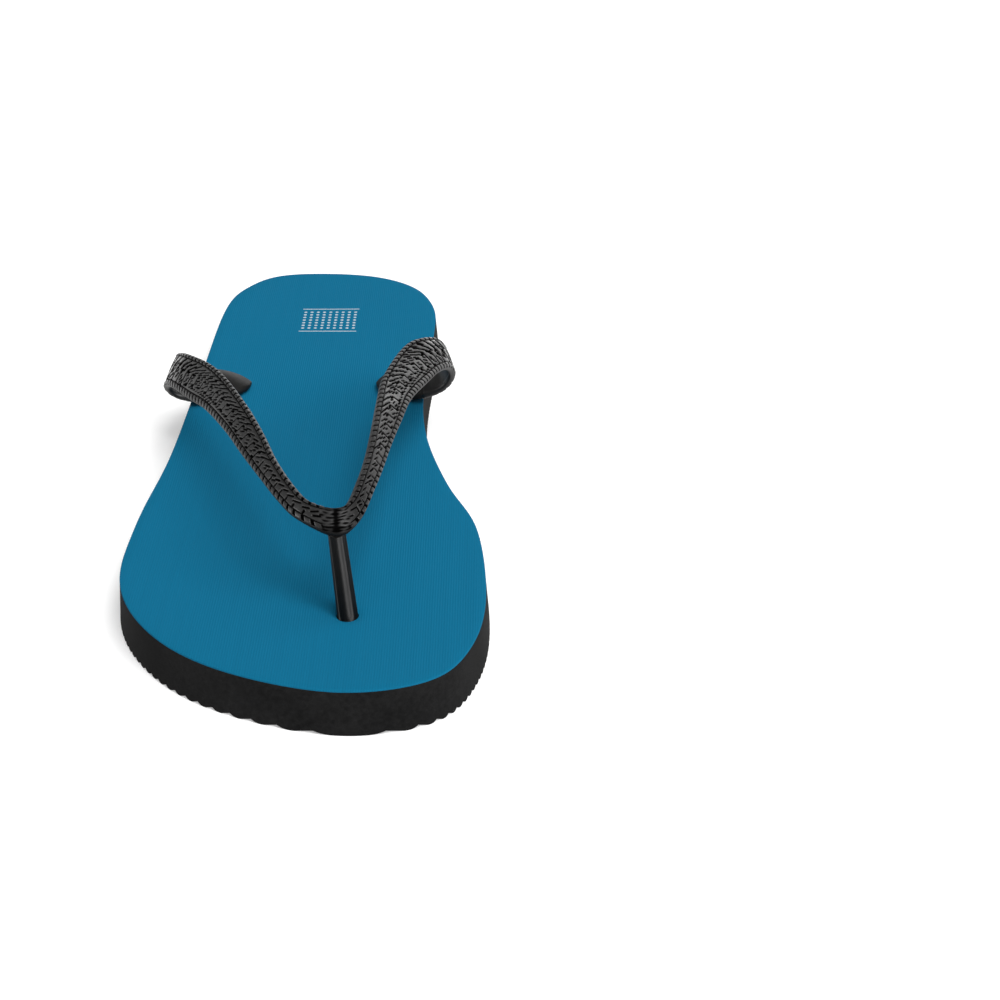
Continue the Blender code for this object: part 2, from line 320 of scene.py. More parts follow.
def math_node(tree, operation, a, b=None):
    """A Math node. An operand is a socket or a number."""
    node = add(tree, "ShaderNodeMath", operation=operation)
    for index, value in enumerate((a, b)):
        if value is None:
            continue
        if isinstance(value, (int, float)):
            node.inputs[index].default_value = value
        else:
            tree.links.new(value, node.inputs[index])
    return node.outputs[0]


def noise(tree, coordinates, scale, detail=3.0, roughness=0.5):
    """A noise texture's value, with the scale in features a metre."""
    node = add(tree, "ShaderNodeTexNoise", Scale=scale, Detail=detail, Roughness=roughness)
    tree.links.new(coordinates, node.inputs["Vector"])
    return node.outputs["Fac"]


def mapped(tree, value, low, high, to_low, to_high):
    """A value moved from one range to another, and clamped."""
    node = add(tree, "ShaderNodeMapRange", clamp=True)
    for index, number in ((1, low), (2, high), (3, to_low), (4, to_high)):
        node.inputs[index].default_value = number
    tree.links.new(value, node.inputs[0])
    return node.outputs[0]


def mixed(tree, factor, a, b):
    """Two colours, each a socket or a tuple, mixed by a factor."""
    node = add(tree, "ShaderNodeMix", data_type="RGBA")
    tree.links.new(factor, node.inputs[0])
    for index, colour in ((6, a), (7, b)):
        if isinstance(colour, tuple):
            node.inputs[index].default_value = (*colour, 1.0)
        else:
            tree.links.new(colour, node.inputs[index])
    return node.outputs[2]


def bump(tree, shader, height, strength, distance):
    """A bump on a shader, its distance in metres."""
    node = add(tree, "ShaderNodeBump", Strength=strength, Distance=distance)
    tree.links.new(height, node.inputs["Height"])
    tree.links.new(node.outputs["Normal"], shader.inputs["Normal"])


def object_coordinates(tree):
    """A point's place on its object, in metres."""
    return add(tree, "ShaderNodeTexCoord").outputs["Object"]


def print_ink(tree, where, axes):
    """Where the small print near the heel is: a block of dots between plain bars, worn by a fine grain."""
    u = math_node(tree, "SUBTRACT", axes.outputs[0], PRINT_PLACE[0] * MM)
    v = math_node(tree, "SUBTRACT", axes.outputs[1], PRINT_PLACE[1] * MM)
    dots = add(tree, "ShaderNodeVectorMath", operation="LENGTH")
    cell = add(tree, "ShaderNodeCombineXYZ")
    for index, value in ((0, u), (1, v)):
        wrapped = math_node(tree, "WRAP", value, DOT_PITCH / 2 * MM)
        wrapped.node.inputs[2].default_value = -DOT_PITCH / 2 * MM
        tree.links.new(wrapped, cell.inputs[index])
    tree.links.new(cell.outputs[0], dots.inputs[0])
    ink = math_node(tree, "LESS_THAN", dots.outputs["Value"], DOT_RADIUS * MM)
    for value, count in ((u, DOT_COLUMNS), (v, DOT_ROWS)):
        block = math_node(tree, "LESS_THAN", math_node(tree, "ABSOLUTE", value), count * DOT_PITCH / 2 * MM)
        ink = math_node(tree, "MULTIPLY", ink, block)
    for offset in PRINT_BARS:
        bar_v = math_node(tree, "COMPARE", v, offset * MM)
        bar_v.node.inputs[2].default_value = BAR_WIDTH / 2 * MM
        bar_u = math_node(tree, "LESS_THAN", math_node(tree, "ABSOLUTE", u), BAR_LENGTH / 2 * MM)
        ink = math_node(tree, "MAXIMUM", ink, math_node(tree, "MULTIPLY", bar_v, bar_u))
    grain = mapped(tree, noise(tree, where, 2600.0, 2.0), 0.32, 0.5, 0.55, 1.0)
    return math_node(tree, "MULTIPLY", ink, grain)


def footbed_material():
    """Blue polyester with lengthwise ribs, and a small pale print near the heel."""
    material, tree, shader = new_material("footbed_weave")
    where = object_coordinates(tree)
    axes = add(tree, "ShaderNodeSeparateXYZ")
    tree.links.new(where, axes.inputs[0])
    wander = math_node(tree, "MULTIPLY", noise(tree, where, 40.0), 0.0005)
    x = math_node(tree, "ADD", axes.outputs[0], wander)
    warp = math_node(tree, "SINE", math_node(tree, "MULTIPLY", x, 2 * math.pi / (RIB_PITCH * MM)))
    stretched = add(tree, "ShaderNodeMapping", in3=(1300.0, 14.0, 100.0))
    tree.links.new(where, stretched.inputs[0])
    streaks = noise(tree, stretched.outputs[0], 1.0, 2.0)
    patches = noise(tree, where, 35.0, 4.0)
    tone = math_node(tree, "MULTIPLY", warp, 0.045)
    tone = math_node(tree, "ADD", tone, mapped(tree, streaks, 0.3, 0.7, -0.035, 0.035))
    tone = math_node(tree, "ADD", tone, mapped(tree, patches, 0.3, 0.7, -0.02, 0.02))
    tone = math_node(tree, "ADD", tone, 0.5)
    blue = mixed(tree, tone, (0.0028, 0.085, 0.160), (0.0048, 0.138, 0.255))
    cover = mixed(tree, print_ink(tree, where, axes), blue, (0.42, 0.48, 0.52))
    tree.links.new(cover, shader.inputs["Base Color"])
    rough = mapped(tree, patches, 0.2, 0.8, 0.82, 0.95)
    tree.links.new(rough, shader.inputs["Roughness"])
    shader.inputs["Specular IOR Level"].default_value = 0.03
    bump(tree, shader, math_node(tree, "ADD", warp, streaks), 0.25, 0.00008)
    return material


def sole_material():
    """Matt black foam rubber with fine pores."""
    material, tree, shader = new_material("sole_foam_rubber")
    where = object_coordinates(tree)
    coarse = noise(tree, where, 700.0, 4.0, 0.6)
    cells = add(tree, "ShaderNodeTexVoronoi", Scale=2600.0)
    tree.links.new(where, cells.inputs["Vector"])
    pores = mapped(tree, cells.outputs["Distance"], 0.0, 0.35, 0.0, 1.0)
    cloud = noise(tree, where, 45.0, 3.0)
    mottled = math_node(tree, "MULTIPLY", coarse, 0.6)
    tone = math_node(tree, "ADD", mottled, math_node(tree, "MULTIPLY", cloud, 0.4))
    tone = math_node(tree, "MULTIPLY", mapped(tree, tone, 0.35, 0.65, 0.0, 1.0), pores)
    colour = mixed(tree, tone, (0.0035, 0.0035, 0.0036), (0.0125, 0.0125, 0.0127))
    tree.links.new(colour, shader.inputs["Base Color"])
    tree.links.new(mapped(tree, coarse, 0.3, 0.7, 0.8, 0.95), shader.inputs["Roughness"])
    shader.inputs["Specular IOR Level"].default_value = 0.06
    height = math_node(tree, "ADD", coarse, math_node(tree, "MULTIPLY", pores, 0.6))
    bump(tree, shader, height, 0.35, 0.00012)
    return material


def strap_material():
    """Satin black rubber: dull in its grooves, shinier where raised, and plain on the tongues. Its colour is
    also darkened in the grooves, as painted shade.

    The relief attribute is low in a groove, 0.8 where the face is rubbed smooth, and 1 on a tongue.
    """
    material, tree, shader = new_material("strap_satin_rubber")
    where = object_coordinates(tree)
    relief = add(tree, "ShaderNodeAttribute", attribute_name="relief").outputs["Fac"]
    fine = noise(tree, where, 1400.0, 3.0)
    cloud = noise(tree, where, 90.0, 3.0)
    raised = mapped(tree, relief, 0.35, 0.72, 0.0, 1.0)
    rubbed = mapped(tree, relief, 0.74, 0.79, 0.0, 0.28)
    smooth_part = mapped(tree, relief, 0.85, 1.0, 0.0, 1.0)
    # The colour falls to near black where the relief is low, in the grooves, notches and wrinkles: painted
    # shade there.
    tone = math_node(tree, "MULTIPLY", raised, mapped(tree, cloud, 0.3, 0.7, 0.75, 1.0))
    colour = mixed(tree, tone, (0.0006, 0.0006, 0.0006), (0.0065, 0.0063, 0.0062))
    colour = mixed(tree, smooth_part, colour, (0.0045, 0.0042, 0.0041))
    tree.links.new(colour, shader.inputs["Base Color"])
    polish = math_node(tree, "ADD", math_node(tree, "MULTIPLY", raised, 0.38), rubbed)
    polish = math_node(tree, "SUBTRACT", polish, math_node(tree, "MULTIPLY", smooth_part, 0.36))
    rough = math_node(tree, "SUBTRACT", mapped(tree, fine, 0.3, 0.7, 0.78, 0.84), polish)
    tree.links.new(rough, shader.inputs["Roughness"])
    gloss = mapped(tree, relief, 0.45, 0.74, 0.01, 0.45)
    gloss = math_node(tree, "SUBTRACT", gloss, math_node(tree, "MULTIPLY", smooth_part, 0.3))
    tree.links.new(gloss, shader.inputs["Specular IOR Level"])
    bump(tree, shader, fine, 0.15, 0.00006)
    return material


def post_material():
    """Glossy black soft plastic with faint lengthwise drag lines."""
    material, tree, shader = new_material("post_gloss_rubber")
    where = object_coordinates(tree)
    stretched = add(tree, "ShaderNodeMapping", in3=(1500.0, 1500.0, 60.0))
    tree.links.new(where, stretched.inputs[0])
    lines = noise(tree, stretched.outputs[0], 1.0, 2.0)
    cloud = noise(tree, where, 240.0, 3.0)
    tone = mapped(tree, cloud, 0.3, 0.7, 0.0, 1.0)
    colour = mixed(tree, tone, (0.0015, 0.0015, 0.0016), (0.0035, 0.0034, 0.0033))
    tree.links.new(colour, shader.inputs["Base Color"])
    tree.links.new(mapped(tree, lines, 0.3, 0.7, 0.46, 0.54), shader.inputs["Roughness"])
    shader.inputs["Anisotropic"].default_value = 1.0
    shader.inputs["Specular IOR Level"].default_value = 0.25
    shader.inputs["Anisotropic Rotation"].default_value = 0.25
    bump(tree, shader, lines, 0.12, 0.00004)
    return material


# ---------------------------------------------------------------- sole and lining


def footbed_outline():
    """The footbed's edge, read from the top of the frame's two lining halves, as evenly spaced points."""
    found = set()
    for name in ("lining_forefoot", "lining_rearfoot"):
        for vertex in frame["nodes"][name].data.vertices:
            x, y, z = np.array(vertex.co) / MM
            beside = min(math.dist((x, y), hole) for hole in (POST_BASE, LATERAL_HOLE, MEDIAL_HOLE))
            if z > FOOTBED_TOP - 0.1 and beside > 4.0 and abs(y - FLEX_Y) > 1.0:
                found.add((round(x, 2), round(y, 2)))
    points = np.array(sorted(found))
    middle = (points.min(axis=0) + points.max(axis=0)) / 2
    points = points[np.argsort(np.arctan2(points[:, 1] - middle[1], points[:, 0] - middle[0]))]
    path = smooth_path(points, 6, closed=True)
    path = np.vstack([path, path[:1]])
    along = lengths(path)
    count = int(along[-1] / OUTLINE_STEP)
    places = np.arange(count) * along[-1] / count
    even = np.column_stack([np.interp(places, along, path[:, k]) for k in range(2)])
    return blurred(even, OUTLINE_BLUR / OUTLINE_STEP, closed=True)


def offset_outline(outline, distance):
    """An anticlockwise outline moved outwards."""
    along = np.roll(outline, -1, axis=0) - np.roll(outline, 1, axis=0)
    outward = np.column_stack([along[:, 1], -along[:, 0]])
    outward /= np.linalg.norm(outward, axis=1)[:, None]
    return outline + distance * outward


def circle(centre, radius, count):
    """Points around a circle, seen from above."""
    turns = np.arange(count) * 2 * math.pi / count
    return np.column_stack([centre[0] + radius * np.cos(turns), centre[1] + radius * np.sin(turns)])


def inside(points, outline):
    """Whether each point is inside a closed outline."""
    x, y = points[:, :1], points[:, 1:]
    x0, y0 = outline[:, 0], outline[:, 1]
    x1, y1 = np.roll(x0, -1), np.roll(y0, -1)
    crosses = (y0 > y) != (y1 > y)
    rise = np.where(y1 == y0, 1e-9, y1 - y0)
    hits = crosses & (x < (x1 - x0) * (y - y0) / rise + x0)
    return hits.sum(axis=1) % 2 == 1


def solid_cutter(name, points, faces):
    """A closed mesh that cuts another and is removed after."""
    return new_object(name, mesh_from(name, points, faces))


def ripple_cutter():
    """What is below the tread: a wave of round ridges across the sole, with narrow grooves between them."""
    reach_x, reach_y, floor = 80.0, 150.0, -4.0
    ridges = int(2 * reach_y / RIPPLE_PITCH)
    profile = []
    for i in range(ridges * RIPPLE_SIDES + 1):
        wave = 0.5 + 0.5 * math.cos(2 * math.pi * i / RIPPLE_SIDES)
        profile.append((-reach_y + i * RIPPLE_PITCH / RIPPLE_SIDES, RIPPLE_DEPTH * wave**RIPPLE_SHARPNESS))
    profile += [(profile[-1][0], floor), (-reach_y, floor)]
    count = len(profile)
    points = [(-reach_x, y, z) for y, z in profile] + [(reach_x, y, z) for y, z in profile]
    faces = strip(range(count), range(count, 2 * count))
    faces += [tuple(range(count))[::-1], tuple(range(count, 2 * count))]
    return solid_cutter("ripple_cutter", points, faces)


def cylinder_cutter(name, centre, radius, low, high):
    """An upright cylinder."""
    sides = 64
    ring = circle(centre, radius, sides)
    points = [(x, y, z) for z in (low, high) for x, y in ring]
    faces = strip(range(sides), range(sides, 2 * sides))
    faces += [tuple(range(sides))[::-1], tuple(range(sides, 2 * sides))]
    return solid_cutter(name, points, faces)


def make_sole(outline, material):
    """The rubber sole: a flared wall, a ripple tread, and the plugs' holes and recesses."""
    count = len(outline)
    points = []
    for distance, z in WALL:
        points += [(x, y, z) for x, y in offset_outline(outline, distance)]
    rings = [range(i * count, (i + 1) * count) for i in range(len(WALL))]
    faces = [face for lower, upper in zip(rings, rings[1:]) for face in strip(lower, upper)]
    faces += [tuple(rings[0])[::-1], tuple(rings[-1])]
    sole = new_object("sole_body", mesh_from("sole_body", points, faces), material)
    cutters = [ripple_cutter()]
    below = -3.0
    for node, centre in PLUGS:
        low, high = node_box(node)
        plug_radius = (high[0] - low[0]) / 2
        recess_radius = plug_radius + RECESS_GAP
        cutters.append(cylinder_cutter(f"{node}_recess", centre, recess_radius, below, RECESS_TOP))
        cutters.append(cylinder_cutter(f"{node}_hole", centre, HOLE_RADIUS, below, FOOTBED_TOP + 2))
    for cutter in cutters:
        modifier = sole.modifiers.new(cutter.name, "BOOLEAN")
        modifier.solver = "EXACT"
        modifier.object = cutter
    apply_modifiers(sole)
    for cutter in cutters:
        bpy.data.objects.remove(cutter)
    bm = bmesh.new()
    bm.from_mesh(sole.data)
    for y in np.arange(BEND_START, BEND_END + 1, BEND_STEP):
        geometry = bm.verts[:] + bm.edges[:] + bm.faces[:]
        bmesh.ops.bisect_plane(bm, geom=geometry, plane_co=(0, y * MM, 0), plane_no=(0, 1, 0), dist=1e-7)
    bm.to_mesh(sole.data)
    bm.free()
    shade(sole.data, 30.0)
    return sole


def lining_sheet(outline, loops, holes):
    """The lining seen from above: its points, its triangles, and each loop's point numbers."""
    loose = [circle(c, r + grow, HOLE_SIDES) for c, r, _ in holes for grow in (0.7, 1.3, 2.2, 3.6)]
    low, high = outline.min(axis=0), outline.max(axis=0)
    xs = np.arange(low[0], high[0], GRID_X)
    ys = np.arange(low[1], high[1], GRID_Y)
    grid = np.array([(x + (j % 2) * GRID_X / 2, y) for j, y in enumerate(ys) for x in xs])
    grid = grid[inside(grid, offset_outline(outline, -1.6))]
    for centre, radius, _ in holes:
        grid = grid[np.linalg.norm(grid - centre, axis=1) > radius + 4.6]
    edges, starts, at = [], [], 0
    for loop in loops:
        starts.append(at)
        edges += [(at + i, at + (i + 1) % len(loop)) for i in range(len(loop))]
        at += len(loop)
    given = [Vector(p) for p in np.vstack(loops + loose + [grid])]
    coords, _, triangles, origins, _, _ = delaunay_2d_cdt(given, edges, [], 0, 1e-5, True)
    number = {origin: i for i, found in enumerate(origins) for origin in found}
    rings = [[number[start + i] for i in range(len(loop))] for start, loop in zip(starts, loops)]
    flat = np.array([tuple(c) for c in coords])
    triangles = np.array(triangles)
    middles = flat[triangles].mean(axis=1)
    kept = inside(middles, loops[0])
    for loop in loops[1:]:
        kept &= ~inside(middles, loop)
    return flat, triangles[kept], rings


def make_lining(outline, material):
    """The printed fabric, bonded to the sole: rounded at its edge, and pressed in around its holes."""
    # Each hole's centre and radius, and how deep the fabric is pressed in beside it.
    holes = ((POST_BASE, 3.15, 0.5), (LATERAL_HOLE, 3.1, 0.2), (MEDIAL_HOLE, 3.1, 0.2))
    inset = 0.3
    loops = [offset_outline(outline, -inset)] + [circle(c, r + inset, HOLE_SIDES) for c, r, _ in holes]
    flat, triangles, rings = lining_sheet(outline, loops, holes)
    top = np.full(len(flat), FOOTBED_TOP)
    top += 0.05 * np.sin(flat[:, 0] / 9.0) * np.sin(flat[:, 1] / 14.0) - 0.05
    for centre, radius, depth in holes:
        away = np.linalg.norm(flat - centre, axis=1) - radius
        top -= depth * np.exp(-away / 1.1)
    points = [(x, y, z) for (x, y), z in zip(flat, top)]
    faces = [tuple(f) for f in triangles]
    bottom = FOOTBED_TOP - LINING_THICKNESS
    bottom_of = {}
    for first, hole in zip(rings, (None, *holes)):
        ring = first
        for gap, drop in ((0.1, 0.05), (0.0, 0.2), (0.0, LINING_THICKNESS)):
            if hole:
                around = circle(hole[0], hole[1] + gap, HOLE_SIDES)
            else:
                around = offset_outline(outline, -gap)
            if drop == LINING_THICKNESS:
                heights = np.full(len(ring), bottom)
            else:
                heights = np.maximum(top[first] - drop, bottom + 0.05)
            lower = list(range(len(points), len(points) + len(ring)))
            points += [(x, y, z) for (x, y), z in zip(around, heights)]
            faces += strip(ring, lower)
            ring = lower
        bottom_of.update(zip(first, ring))
    for i, (x, y) in enumerate(flat):
        if i not in bottom_of:
            bottom_of[i] = len(points)
            points.append((x, y, bottom))
    faces += [tuple(bottom_of[i] for i in reversed(f)) for f in triangles]
    lining = new_object("footbed_lining", mesh_from("footbed_lining", points, faces), material)
    shade(lining.data, 50.0)
    return lining


# ---------------------------------------------------------------- strap


def strap_stations():
    """Even stations along the strap: each one's place, middle, two directions and half width.

    The directions are across the strap and out of its outer face. The last value is the yoke's place.
    """
    path = smooth_path([front + rear for front, rear in STRAP_EDGES], CURVE_STEPS, closed=False)
    path[:, [2, 5]] += FOOTBED_TOP
    along = lengths((path[:, :3] + path[:, 3:]) / 2)
    yoke = along[YOKE_PAIR * CURVE_STEPS]
    places = np.linspace(0.0, along[-1], int(along[-1] / STATION) + 1)
    even = np.column_stack([np.interp(places, along, path[:, k]) for k in range(6)])
    even = blurred(even, STRAP_BLUR / STATION, closed=False)
    front, rear = even[:, :3], even[:, 3:]
    middle = (front + rear) / 2
    across = (front - rear) / 2
    half = np.linalg.norm(across, axis=1)
    across /= half[:, None]
    forward = np.gradient(middle, axis=0)
    outward = np.cross(across, forward)
    outward /= np.linalg.norm(outward, axis=1)[:, None]
    return places, middle, across, outward, half, yoke


def leg_slots(reach, places, halves):
    """A leg's large S slots, tall on the curl and low further on, each with a hook at both ends.

    It gives each one's place, half height and middle, and all their grooves.
    """
    slots, marks = [], []
    u = SLOTS_START
    while u < reach - 6.0:
        leg = float(smoothstep(50.0, 76.0, u))
        late = float(smoothstep(reach - 44.0, reach - 34.0, u))
        mid = 0.35 + 1.3 * (1 - leg)
        tall = min(2.7 - 1.5 * leg, float(np.interp(u, places, halves)) - 2.4 - mid)
        lean = 0.45 - 0.2 * leg
        depth = 1.0 - 0.5 * leg
        wide = 0.44 - 0.18 * leg
        slots.append((u, tall, mid))
        marks.append((u - lean * tall, mid + tall, u + lean * tall, mid - tall, wide, depth))
        if late < 0.5:
            for end in (-1, 1):
                u_end, v_end = u + end * lean * tall, mid - end * tall
                marks.append((u_end, v_end, u_end + end * 1.5, v_end - end * 0.3, 0.28, 0.8 * depth))
        u += SLOT_PITCH + 0.6 * leg - 2.0 * late
    return slots, marks


def leg_dashes(reach, places, halves, slots, random):
    """Rows of slanted dashes beside a leg's slots: bold on the curl, fine on the leg, longer at the rear."""
    marks = []
    for row in range(-8, 9):
        v = ROW_PITCH * row
        u = DASHES_START + random.uniform(0.0, 3.0)
        while u < reach - 4.0:
            half = float(np.interp(u, places, halves))
            rear = float(smoothstep(0.1, 0.6, -v / half))
            curl = 1 - float(smoothstep(44.0, 66.0, u))
            long = random.uniform(1.0, 2.2) + 2.0 * rear
            fall = (0.16 + 0.14 * curl) * long + random.uniform(-0.12, 0.12)
            middle, gap = u + long / 2, 0.8 + long / 2
            room = half - (1.7 if v < 0 else 2.8)
            apart = [abs(middle - at) > gap or abs(v - mid) > tall + 0.4 for at, tall, mid in slots]
            if all(apart) and abs(v) < room:
                width = random.uniform(0.13, 0.22) + 0.12 * curl
                marks.append((u, v + fall, u + long, v - fall, width, 0.38 + 0.44 * curl))
            u += long + random.uniform(0.6, 1.1)
    return marks


def embossed_marks(places, yoke, half):
    """The embossed grooves: for each, two points along and across the strap, a width and a depth."""
    random = np.random.default_rng(PATTERN_SEED)
    found = []
    for leg_end, sign, halves in ((0.0, 1.0, half), (places[-1], -1.0, half[::-1])):
        reach = abs(yoke - leg_end)
        slots, marks = leg_slots(reach, places, halves)
        marks += leg_dashes(reach, places, halves, slots, random)
        for u0, v0, u1, v1, width, depth in marks:
            found.append((leg_end + sign * u0, v0, leg_end + sign * u1, v1, width, depth))
    return found


def groove_depths(places, contour, marks):
    """How deep the marks press each point, given its place along the strap and its place across it."""
    depths = np.zeros_like(contour)
    for u0, v0, u1, v1, width, deep in marks:
        reach = width + 0.3
        first = np.searchsorted(places, min(u0, u1) - reach)
        last = np.searchsorted(places, max(u0, u1) + reach)
        if first >= last:
            continue
        pu = places[first:last, None] - u0
        pv = contour[first:last] - v0
        du, dv = u1 - u0, v1 - v0
        t = np.clip((pu * du + pv * dv) / (du * du + dv * dv), 0.0, 1.0)
        away = np.hypot(pu - t * du, pv - t * dv)
        depth = deep * (1 - smoothstep(width - 0.12, width + 0.2, away))
        depths[first:last] = np.maximum(depths[first:last], depth)
    return depths


def rounded_face(half, thick, radius, share, count):
    """A face of the strap, flat with a quarter round at both sides, as rows of points across the stations.

    It gives each point's place along the contour, half the contour's length, how far it has turned down,
    its place across the strap, and how far it is below the flat.
    """
    corner = np.minimum(radius, share * np.minimum(thick, 2 * half))[:, None]
    flat = half[:, None] - corner
    reach = flat + math.pi / 2 * corner
    contour = np.linspace(-1.0, 1.0, count)[None, :] * reach
    turn = np.clip((np.abs(contour) - flat) / corner, 0.0, math.pi / 2)
    v = np.sign(contour) * (np.minimum(np.abs(contour), flat) + corner * np.sin(turn))
    return contour, reach, turn, v, corner * (1 - np.cos(turn))


def swelling(v, half):
    """1 along the strap's middle, falling to 0 at its sides."""
    return 1 - (v / np.maximum(half[:, None], 0.1)) ** 2


def border_relief(places, contour, edge, half):
    """Low pads with slanted notches between them along each edge, the front ones inside a lip.

    It gives their height, how much each point belongs to them, and the place beside them.
    """
    side = np.sign(contour)
    row = np.where(side > 0, FRONT_ROW, REAR_ROW)
    beside = (edge - row) / (0.6 + 0.25 * smoothstep(3.5, 6.5, half))[:, None]
    phase = (places[:, None] + NOTCH_SLANT * side * (edge - row)) / BEAD_PITCH % 1.0
    from_notch = np.abs(phase - 0.5) * BEAD_PITCH - NOTCH_WIDTH / 2
    band = 1 - smoothstep(0.85, 1.15, np.abs(beside))
    beads = band * (BEAD_HEIGHT - NOTCH_DEPTH * (1 - smoothstep(-0.15, 0.2, from_notch)))
    rail = -RAIL_DEPTH * np.exp(-(((beside - 1.35) / 0.28) ** 2))
    return beads + rail, band, beside


def yoke_wrinkles(from_yoke, contour, edge, near):
    """Fine broken wrinkles along the strap, and a shallow crease where the legs meet."""
    uneven = contour * 6.2 + 1.3 * np.sin(from_yoke * 0.9 + 1.0)
    uneven = uneven + 1.1 * np.sin(contour * 1.3 + 0.8 * from_yoke)
    broken = 0.55 + 0.45 * np.sin(from_yoke * 2.1 + contour * 2.3)
    lines = broken * (0.5 + 0.5 * np.sin(uneven)) ** 2 * near * smoothstep(0.5, 1.6, edge)
    crease = np.exp(-((from_yoke / 0.7) ** 2)) * smoothstep(0.5, 2.0, edge)
    return -WRINKLE_DEPTH * lines - CREASE_DEPTH * crease


def make_strap(material):
    """The Y-shaped strap: one ribbon over the yoke, embossed and notched outside and dished inside.

    Its ends turn under, so the tongues' top is the inner face and their underside, which lies on the
    footbed, is the outer one. Both swell there.
    """
    places, middle, across, outward, half, yoke = strap_stations()
    from_yoke = places[:, None] - yoke
    from_tip = np.minimum(places, places[-1] - places)
    tip = np.sqrt(1 - (1 - np.clip((from_tip + 0.06) / TIP_LENGTH, 0, 1)) ** 2)
    half = half * tip
    thick = STRAP_THICKNESS * (0.8 + 0.2 * smoothstep(0.0, 14.0, from_tip)) * tip**0.7
    thick += (YOKE_THICKNESS - STRAP_THICKNESS) * (1 - smoothstep(10.0, 25.0, np.abs(places - yoke)))
    carved = smoothstep(20.0, 28.0, from_tip)
    tongue = smoothstep(0.0, 9.0, from_tip) * (1 - smoothstep(15.0, 25.0, from_tip))
    near = 1 - smoothstep(2.5, 5.0, np.abs(from_yoke))

    # Outer face.
    contour, reach, turn, v, drop = rounded_face(half, thick, OUTER_ROUND, 0.42, OUTER_POINTS)
    crown = STRAP_CROWN * carved + TONGUE_BELLY * tongue
    z = 0.5 * thick[:, None] - drop + crown[:, None] * swelling(v, half)
    edge = reach - np.abs(contour)
    border, band, beside = border_relief(places, contour, edge, half)
    grooves = groove_depths(places, contour, embossed_marks(places, yoke, half))
    grooves *= smoothstep(1.4, 1.7, beside)
    height = (border - grooves) * carved[:, None] * (1 - near) + yoke_wrinkles(from_yoke, contour, edge, near)
    v_carved = v + height * np.sign(contour) * np.sin(turn)
    z_carved = z + height * np.cos(turn)

    # Inner face: dished between two rims, and going back across the strap.
    _, _, _, v_in, drop_in = rounded_face(half, thick, INNER_ROUND, 0.38, INNER_POINTS)
    from_side = half[:, None] - np.abs(v_in)
    dish = DISH_DEPTH * smoothstep(0.9, 2.6, from_side) * carved[:, None] * (1 - 0.9 * near)
    z_in = drop_in - 0.42 * thick[:, None] + dish - TONGUE_CROWN * tongue[:, None] * swelling(v_in, half)

    v_all = np.hstack([v_carved, v_in[:, ::-1]])
    z_all = np.hstack([z_carved, z_in[:, ::-1]])
    points = middle[:, None] + v_all[..., None] * across[:, None] + z_all[..., None] * outward[:, None]
    numbers = np.arange(v_all.size).reshape(v_all.shape)
    faces = [face for here, after in zip(numbers, numbers[1:]) for face in strip(here, after)]
    faces += [tuple(numbers[0])[::-1], tuple(numbers[-1])]
    mesh = mesh_from("strap", points.reshape(-1, 3), faces)

    # What the material reads: low in the grooves and between the beads, where the colour is darkened as
    # painted shade, and high where the curls are worn.
    relief = np.full(v_all.shape, INNER_RELIEF)
    rubbed = 0.07 * (1 - smoothstep(40.0, 58.0, from_tip))
    rubbed -= 0.04 * (1 - smoothstep(5.0, 24.0, np.abs(places - yoke)))
    # Lower on the beads for a duller finish, on the front lip as painted shade on the strap's side face, and
    # a little near the yoke.
    dull_and_painted_shade = 0.11 * band + 0.12 * (contour > 0) * (1 - smoothstep(0.9, 1.3, edge)) + 0.04 * near
    relief[:, :OUTER_POINTS] = np.clip(0.73 + rubbed[:, None] - dull_and_painted_shade + 1.1 * height, 0.0, 0.8)
    relief = np.maximum(relief, 1 - smoothstep(16.0, 22.0, from_tip)[:, None])
    attribute = mesh.attributes.new("relief", "FLOAT", "POINT")
    attribute.data.foreach_set("value", relief.astype(np.float32).ravel())
    mesh.shade_smooth()
    return new_object("strap", mesh, material)


# ---------------------------------------------------------------- post and plugs


def make_post(material):
    """The toe post: upright in the sole, leaning back above it, and filleted into the yoke's underside."""
    foot = np.array([*POST_BASE, node_box("toe_post")[0][2]])
    bend = np.array([*POST_BASE, FOOTBED_TOP])
    lean = np.array(POST_LEAN)
    heights = np.concatenate([np.linspace(0.0, 0.88, 24), np.linspace(0.9, 1.1, 14)])
    radii = POST_RADIUS - 0.5 * heights + 0.3 * smoothstep(0.98, 1.14, heights)
    centres = [foot, bend - [0, 0, 0.6]] + [bend + lean * h for h in heights]
    radii = [POST_RADIUS, POST_RADIUS, *radii]
    turns = np.arange(ROUND_SIDES) * 2 * math.pi / ROUND_SIDES
    flute = FLUTE_DEPTH * np.cos(FLUTES * turns)
    points = []
    for centre, radius in zip(centres, radii):
        around = radius + flute * (centre[2] > FOOTBED_TOP + 0.5)
        for turn, reach in zip(turns, around):
            x, y = reach * math.cos(turn), reach * math.sin(turn)
            rise = 0.6 * y * smoothstep(0.5, 1.0, (centre[2] - FOOTBED_TOP) / lean[2])
            points.append(centre + [x, y, rise])
    rings = [range(i * ROUND_SIDES, (i + 1) * ROUND_SIDES) for i in range(len(centres))]
    faces = [face for lower, upper in zip(rings, rings[1:]) for face in strip(lower, upper)]
    faces += [tuple(rings[0])[::-1], tuple(rings[-1])]
    mesh = mesh_from("toe_post_moulding", points, faces)
    shade(mesh, 50.0)
    return new_object("toe_post_moulding", mesh, material)


